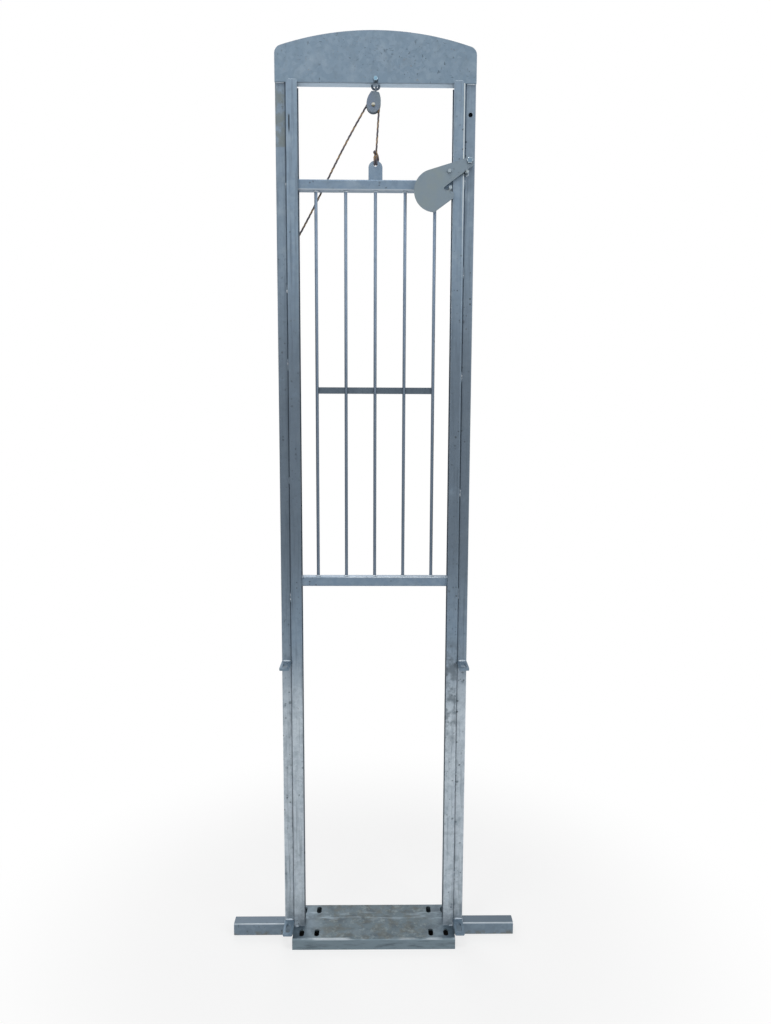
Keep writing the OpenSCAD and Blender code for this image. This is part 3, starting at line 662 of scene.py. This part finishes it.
# The knot, in millimetres from the middle of the tab's hole: the rope comes down on the right, passes
# behind the tab and forward through the hole, makes a bight in front, goes back through the hole,
# rises behind and ends round itself
HOLE_BELOW_TOP = 9 * MM
HOLE = Vector((0, 0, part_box("rope_tab")[1].z - HOLE_BELOW_TOP))
KNOT_MM = [
    (2.2, 0.2, 29.5), (2.8, 0.3, 26.5), (4.4, 0.6, 22.3), (6.2, 1.2, 17.5), (6.5, 3.0, 12.5),
    (5.2, 5.5, 8.0), (3.2, 5.5, 3.4), (2.3, 3.0, 0.6), (2.3, 0, 0.2), (2.3, -3.0, 0.6),
    (2.3, -5.4, 3.2), (2.3, -5.9, 7.5), (2.2, -5.6, 12.5), (1.9, -5.2, 16.5), (-0.5, -5.2, 18.9),
    (-2.9, -5.4, 16.5), (-2.7, -5.7, 12.0), (-2.3, -5.9, 7.5), (-2.3, -5.4, 3.2), (-2.3, -3.0, 0.6),
    (-2.3, 0, 0.2), (-2.3, 3.0, 0.6), (-2.2, 5.4, 3.4), (-1.2, 5.8, 9.0), (0, 5.6, 14.0),
    (0.6, 5.6, 19.0), (-0.6, 5.2, 24.0), (-3.0, 3.4, 28.4), (-3.4, -0.4, 30.6), (-2.0, -3.6, 30.0),
    (0.2, -4.8, 27.6), (0.8, -4.6, 25.0),
]
KNOT_FIBRES, KNOT_FRAY = 16, 2.5 * MM


def make_knot(fibre):
    route = [KNOT_TOP, *[HOLE + Vector(p) * MM for p in KNOT_MM]]
    make_piece("rope_knot_strands", laid_rope(rope_line(route)), fibre, "gate", ["rope_knot"])
    ahead = (route[-1] - route[-2]).normalized()
    make_piece("rope_knot_fray", frayed_tip(route[-1], ahead, KNOT_FIBRES, KNOT_FRAY), fibre, "gate")


# Hexagon bolts: parts as shares of the diameter, the chamfer, and the thread
BOLT_ACROSS, BOLT_HEAD, BOLT_NUT = 1.625, 0.65, 0.8
CHAMFER_FACE, CHAMFER_DEG, CHAMFER_STEPS = 0.95, 30, 6
THREAD_PITCH = 1.25 * MM
THREAD_DEPTH = 0.6 * MM
THREAD_END = 0.3 * MM
# How far one turned body reaches into the next
SUNK = 0.2 * MM
SHARP = math.radians(28)


def add_turned(mesh, start, profile, flats=None, bright=(), sides=48):
    """Adds a body turned round a line towards the back, from pairs of distance and radius.

    flats is the width across a hexagon that the body is cut down to, with flats to the sides, and bright
    holds the numbers of the bands that take the painted highlight.
    """
    rings = []
    for distance, radius in profile:
        ring = []
        for k in range(sides):
            angle = math.tau * k / sides
            reach = radius
            if flats:
                from_flat = (angle + math.pi / 6) % (math.pi / 3) - math.pi / 6
                reach = min(radius, flats / 2 / math.cos(from_flat))
            point = Vector((reach * math.sin(angle), distance, reach * math.cos(angle)))
            ring.append(mesh.verts.new(start + point))
        rings.append(ring)
    add_skin(mesh, rings, bright)
    mesh.faces.new(list(reversed(rings[0])))
    mesh.faces.new(rings[-1])


def make_bolt(name, node, zinc, rim_highlight):
    """A hexagon bolt with chamfered head and nut and a threaded end, in the place of a plain one."""
    low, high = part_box(node)
    across = high.x - low.x
    d = across / BOLT_ACROSS
    front = Vector(((low.x + high.x) / 2, low.y, (low.z + high.z) / 2))
    nut = front.copy()
    nut.y = high.y - d
    corner = across / 2 / math.cos(math.pi / 6)
    face = across / 2 * CHAMFER_FACE
    chamfer = (corner - face) * math.tan(math.radians(CHAMFER_DEG))
    mesh = bmesh.new()
    # The cone of the chamfer leaves the curved edges of a machined hexagon
    slope = [(0, face)]
    for k in range(1, CHAMFER_STEPS + 1):
        slope.append((chamfer * k / CHAMFER_STEPS, face + (corner - face) * k / CHAMFER_STEPS))
    # The chamfer's bands take the painted highlight
    add_turned(mesh, front, [*slope, (BOLT_HEAD * d, corner)], across, range(CHAMFER_STEPS))
    nut_t = BOLT_NUT * d
    add_turned(mesh, nut, [(0, corner), *[(nut_t - x, r) for x, r in reversed(slope)]], across)
    add_turned(mesh, front, [(BOLT_HEAD * d - SUNK, d / 2), (nut.y - low.y + SUNK, d / 2)])
    ridges = [(nut_t - SUNK, d / 2)]
    while ridges[-1][0] + THREAD_PITCH < d - THREAD_END:
        at = ridges[-1][0]
        ridges += [(at + THREAD_PITCH / 2, d / 2 - THREAD_DEPTH), (at + THREAD_PITCH, d / 2)]
    add_turned(mesh, nut, [*ridges, (d, d / 2 - THREAD_DEPTH)])
    bolt = make_piece(name, mesh, zinc, "frame", [node])
    bolt.data.materials.append(rim_highlight)
    bolt.data.set_sharp_from_angle(angle=SHARP)


# Weld beads: ripples of set pools along the seams
BEAD_RIPPLE = 2.2 * MM
RIPPLE_DEPTH = 0.14
BEAD_STEPS, BEAD_SIDES = 4, 10
BEAD_END = 0.35
BEAD_UNEVEN = (0.96, 1.04)
RING_STEPS = 24
# Widths of the beads
FOOT_BEAD = 5 * MM
LUG_TOP_BEAD, LUG_LOW_BEAD = 7 * MM, 4 * MM
HEAD_BEAD, LAP_BEAD = 4 * MM, 3.5 * MM
STITCH_BEAD = 5.5 * MM
PIN_BEAD = 3 * MM
BAR_BEAD, FLAT_BEAD, TAB_BEAD = 5 * MM, 3 * MM, 4.5 * MM
# Where the beads lie from the faces that they join
SEAM_INSET = 1.5 * MM
CORNER = 2 * MM
PLATE_BEAD_OUT = 0.5 * MM
GROOVE_OUT = 1 * MM
BAR_BEAD_OUT = 0.8 * MM
FLAT_BEAD_HALF = 4 * MM
# Rods welded on end: the solid, whether its front end is the welded one, and the radius of the seam
WELDED_RODS = [("rope_eye", True, 3.4 * MM), ("latch_stop_pin", False, 4.6 * MM)]
# Middles of the stitches between upright and track, before each is shifted a little, and their half lengths
STITCH_Z = [0.16, 0.46, 0.92, 1.22, 1.50, 1.73, 1.96]
STITCH_SHIFT_MM = (-25, 25)
STITCH_HALF_MM = (9, 15)
STITCHES = "track_stitch_welds"


def add_bead(mesh, route, width, draw):
    """Adds one bead along a seam, half sunk in the metal."""
    step = BEAD_RIPPLE / BEAD_STEPS
    line = even_steps([Vector(p) for p in route], step)
    radii = []
    for i in range(len(line)):
        ripple = abs(math.sin(math.pi * i * step / BEAD_RIPPLE))
        taper = min(1, BEAD_END + min(i, len(line) - 1 - i) * step / width)
        swell = 1 - RIPPLE_DEPTH + RIPPLE_DEPTH * ripple
        radii.append(width / 2 * taper * swell * draw.uniform(*BEAD_UNEVEN))
    add_tube(mesh, line, radii, BEAD_SIDES)


def ring_seam(centre, radius, normal):
    """A closed seam round a bar or pin."""
    side = normal.orthogonal().normalized()
    other = normal.cross(side)
    angles = [math.tau * k / RING_STEPS for k in range(RING_STEPS + 1)]
    return [Vector(centre) + radius * (math.cos(a) * side + math.sin(a) * other) for a in angles]


def right_seams(draw):
    """The seams on the right side of the frame: piece, width of the bead, and route."""
    post_low, post_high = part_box("right_upright")
    track_low, track_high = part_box("right_track")
    plate_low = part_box("head_plate")[0]
    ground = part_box("right_foot")[1].z
    inner, outer, front, back = post_low.x, post_high.x, post_low.y, post_high.y
    across = (inner + SEAM_INSET, outer - SEAM_INSET)
    # Round the foot of the upright
    seams = [("foot_weld_beads", FOOT_BEAD, [
        (inner, front, ground), (outer - CORNER, front, ground), (outer, front + CORNER, ground),
        (outer, back - CORNER, ground), (outer - CORNER, back, ground), (inner, back, ground)])]
    # Along the top and the underside of each lug
    for node in ("right_upper_lug", "right_lower_lug"):
        low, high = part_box(node)
        for z, width in ((high.z, LUG_TOP_BEAD), (low.z, LUG_LOW_BEAD)):
            seams.append(("lug_weld_beads", width, [(x, front, z) for x in across]))
    # Under the head plate, across the upright, and over the track's lap on the plate
    under = plate_low.z
    lap = (track_low.x + 1 * MM, track_high.x - 6 * MM)
    seams.append(("head_weld_beads", HEAD_BEAD, [(x, front - PLATE_BEAD_OUT, under) for x in across]))
    seams.append(("head_weld_beads", LAP_BEAD, [(x, plate_low.y, track_high.z) for x in lap]))
    # Crossbar to upright and track, behind
    upright = (under + 2 * MM, post_high.z - 2 * MM)
    level = (track_low.x + 2 * MM, track_high.x - 4 * MM)
    seams.append(("head_weld_beads", HEAD_BEAD, [(inner, back, z) for z in upright]))
    seams.append(("head_weld_beads", HEAD_BEAD, [(x, back + GROOVE_OUT, under) for x in level]))
    # Stitches in the groove between upright and track, front and back
    for z in STITCH_Z:
        for y in (front - GROOVE_OUT, back + GROOVE_OUT):
            half = draw.uniform(*STITCH_HALF_MM) * MM
            middle = z + draw.uniform(*STITCH_SHIFT_MM) * MM
            seams.append((STITCHES, STITCH_BEAD, [(inner, y, middle - half), (inner, y, middle + half)]))
    # Tacks where the track stands on the floor plate
    tack = (track_high.x - 12 * MM, track_high.x - 1 * MM)
    for y in (track_low.y, track_high.y):
        seams.append(("foot_weld_beads", FOOT_BEAD, [(x, y, track_low.z) for x in tack]))
    return seams


def make_welds(bead, dull):
    """Beads on the frame and on the gate, along the seams between their pieces."""
    draw = random.Random(11)
    seams = []
    for side in (-1, 1):
        for name, width, route in right_seams(draw):
            seams.append((name, width, [(side * x, y, z) for x, y, z in route]))
    for node, at_front, radius in WELDED_RODS:
        low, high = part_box(node)
        centre = ((low.x + high.x) / 2, low.y if at_front else high.y, (low.z + high.z) / 2)
        seams.append(("head_weld_beads", PIN_BEAD, ring_seam(centre, radius, BACK)))
    meshes = {}
    for name, width, route in seams:
        meshes.setdefault(name, bmesh.new())
        add_bead(meshes[name], route, width, draw)
    for name, mesh in meshes.items():
        make_piece(name, mesh, dull if name == STITCHES else bead, "frame")
    make_gate_welds(bead, draw)


def make_gate_welds(bead, draw):
    mesh = bmesh.new()
    flat_low, flat_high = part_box("gate_mid_flat")
    for node in GATE_BARS:
        low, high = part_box(node)
        x, r = (low.x + high.x) / 2, (high.x - low.x) / 2
        for z in (low.z, high.z):
            add_bead(mesh, ring_seam((x, 0, z), r + BAR_BEAD_OUT, UP), BAR_BEAD, draw)
        ends = (x - FLAT_BEAD_HALF, x + FLAT_BEAD_HALF)
        for z in (flat_low.z, flat_high.z):
            add_bead(mesh, [(end, flat_low.y, z) for end in ends], FLAT_BEAD, draw)
    tab_low, tab_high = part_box("rope_tab")
    for y in (tab_low.y, tab_high.y):
        add_bead(mesh, [(x, y, tab_low.z) for x in (tab_low.x, tab_high.x)], TAB_BEAD, draw)
    make_piece("gate_weld_beads", mesh, bead, "gate")


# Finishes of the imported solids
GATE_BARS = [f"gate_bar_{i}" for i in range(1, 6)]
LUGS = ["left_upper_lug", "right_upper_lug", "left_lower_lug", "right_lower_lug"]


def finish_nodes(zinc):
    finishes = {
        zinc: ["latch_bush"],
        galvanised_tube(): ["left_upright", "right_upright"],
        galvanised_foot(): ["left_foot", "right_foot"],
        galvanised_track(): ["left_track", "right_track"],
        galvanised_plate(): ["head_plate", *LUGS],
        galvanised_crossbar(): ["crossbar"],
        galvanised_rail(): ["gate_top_rail", "gate_bottom_rail", "rope_tab"],
        galvanised_bar(): GATE_BARS,
        galvanised_bar("hot_dip_galvanised_flat", "#56646f"): ["gate_mid_flat"],
        galvanised_latch(): ["latch_plate"],
        worn_base_plate(): ["base_plate"],
        pulley_steel(): ["pulley_block", "pulley_sheave"],
        gold_zinc(): ["pulley_axle"],
        dull_pin(): ["latch_stop_pin", "catch_pin", "latch_stud"],
        dark_rod(): ["pulley_bow", "rope_eye"],
    }
    for material, names in finishes.items():
        for name in names:
            frame["nodes"][name].data.materials.clear()
            frame["nodes"][name].data.materials.append(material)


# Studio: pale floor, white surroundings and soft light from above and in front
SURROUND_LIGHT = 0.42
AIM = Vector((0, 0, 1.2))
# Place, size and power of each lamp
SOFTBOXES = {
    "overhead": ((-0.3, -1.1, 4.3), 1.5, 30),
    "front_left": ((-2.6, -3.2, 3.0), 2.0, 20),
    "front_right": ((2.8, -2.6, 2.2), 2.0, 30),
    "behind": ((-0.8, 3.0, 3.0), 2.2, 30),
}
FLOOR_HALF = 12.0
SHADOW_NEAR, SHADOW_FAR = 0.45, 1.2
# Share of plain white in the floor as the camera sees it, right under the gate
FLOOR_LIFT = 0.72
# The floor plate's half sizes: under it the floor is painted dark, as painted shade
COVERED_X, COVERED_Y = 0.21, 0.068


def make_studio():
    scene = bpy.context.scene
    scene.view_settings.view_transform = "Standard"
    world = bpy.data.worlds.new("studio")
    scene.world = world
    world.use_nodes = True
    tree = world.node_tree
    tree.nodes.clear()
    seen = seen_rays(tree)
    light = add(tree, "ShaderNodeBackground", {"Color": linear("#ffffff"), "Strength": SURROUND_LIGHT})
    white = add(tree, "ShaderNodeBackground", {"Color": linear("#ffffff"), "Strength": 1.0})
    both = add(tree, "ShaderNodeMixShader", {0: seen, 1: light["Background"], 2: white["Background"]})
    add(tree, "ShaderNodeOutputWorld", {"Surface": both["Shader"]})
    make_floor()
    for name, (at, size, power) in SOFTBOXES.items():
        make_softbox(name, at, size, power)


def seen_rays(tree):
    """1 where a ray comes from the camera or from a mirror or glass reflection."""
    rays = add(tree, "ShaderNodeLightPath", {})
    seen = rays["Is Camera Ray"]
    for kind in ("Is Glossy Ray", "Is Transmission Ray"):
        seen = add(tree, "ShaderNodeMath", {0: seen, 1: rays[kind]}, operation="MAXIMUM")["Value"]
    return seen


def make_floor():
    """A pale floor that keeps the shadow near the gate and is plain white further off."""
    mesh = bmesh.new()
    corners = [(-1, -1), (1, -1), (1, 1), (-1, 1)]
    mesh.faces.new([mesh.verts.new((x * FLOOR_HALF, y * FLOOR_HALF, 0)) for x, y in corners])
    material = bpy.data.materials.new("pale_studio_floor")
    material.use_nodes = True
    tree = material.node_tree
    tree.nodes.clear()
    place = add(tree, "ShaderNodeTexCoord", {})["Object"]
    distance = add(tree, "ShaderNodeVectorMath", {0: place}, operation="LENGTH")["Value"]
    away = add(tree, "ShaderNodeMapRange", {
        "Value": distance, "From Min": SHADOW_NEAR, "From Max": SHADOW_FAR},
        interpolation_type="SMOOTHSTEP")["Result"]
    lifted = add(tree, "ShaderNodeMapRange", {"Value": away, "To Min": FLOOR_LIFT, "To Max": 1.0})["Result"]
    white = add(tree, "ShaderNodeMath", {0: lifted, 1: seen_rays(tree)}, operation="MULTIPLY")["Value"]
    axes = add(tree, "ShaderNodeSeparateXYZ", {"Vector": place})
    across = add(tree, "ShaderNodeMath", {0: axes["X"], 1: 0.0, 2: COVERED_X}, operation="COMPARE")["Value"]
    deep = add(tree, "ShaderNodeMath", {0: axes["Y"], 1: 0.0, 2: COVERED_Y}, operation="COMPARE")["Value"]
    covered = add(tree, "ShaderNodeMath", {0: across, 1: deep}, operation="MULTIPLY")["Value"]
    white = add(tree, "ShaderNodeMath", {0: white, 1: covered}, operation="SUBTRACT", use_clamp=True)["Value"]
    # Under the floor plate the ground colour is painted dark: painted shade
    ground = add(tree, "ShaderNodeMix", {
        MIX_FACTOR: covered, MIX_UNDER: linear("#f6f6f6"), MIX_OVER: linear("#3a3a3a")},
        data_type="RGBA")[MIX_OUT]
    matt = add(tree, "ShaderNodeBsdfDiffuse", {"Color": ground})
    plain = add(tree, "ShaderNodeEmission", {"Color": linear("#ffffff"), "Strength": 1.0})
    both = add(tree, "ShaderNodeMixShader", {0: white, 1: matt["BSDF"], 2: plain["Emission"]})
    add(tree, "ShaderNodeOutputMaterial", {"Surface": both["Shader"]})
    floor = make_piece("studio_floor", mesh, material)


def make_softbox(name, at, size, power):
    data = bpy.data.lights.new(name, "AREA")
    data.size = size
    data.energy = power
    lamp = bpy.data.objects.new(name, data)
    lamp.location = at
    lamp.rotation_euler = (AIM - Vector(at)).to_track_quat("-Z", "Y").to_euler()
    bpy.context.collection.objects.link(lamp)


make_camera()
rope_fibre = laid_rope_fibre()
make_tail(rope_fibre)
make_run(rope_fibre)
make_drop(rope_fibre)
make_knot(rope_fibre)
blue_zinc = zinc_bolt("blue_zinc_plated_steel", "#7ea4bb")
dulled_zinc = zinc_bolt("dulled_zinc_plated_steel", "#738a9c")
rim_highlight_zinc = painted_rim_highlight()
make_bolt("head_hex_bolt", "head_bolt", blue_zinc, rim_highlight_zinc)
make_bolt("latch_pivot_bolt", "latch_bolt", dulled_zinc, rim_highlight_zinc)
make_welds(weld_metal("galvanised_weld_bead", "#b4c0ca"), weld_metal("dull_stitch_weld", "#6d7a86"))
finish_nodes(dulled_zinc)
make_studio()
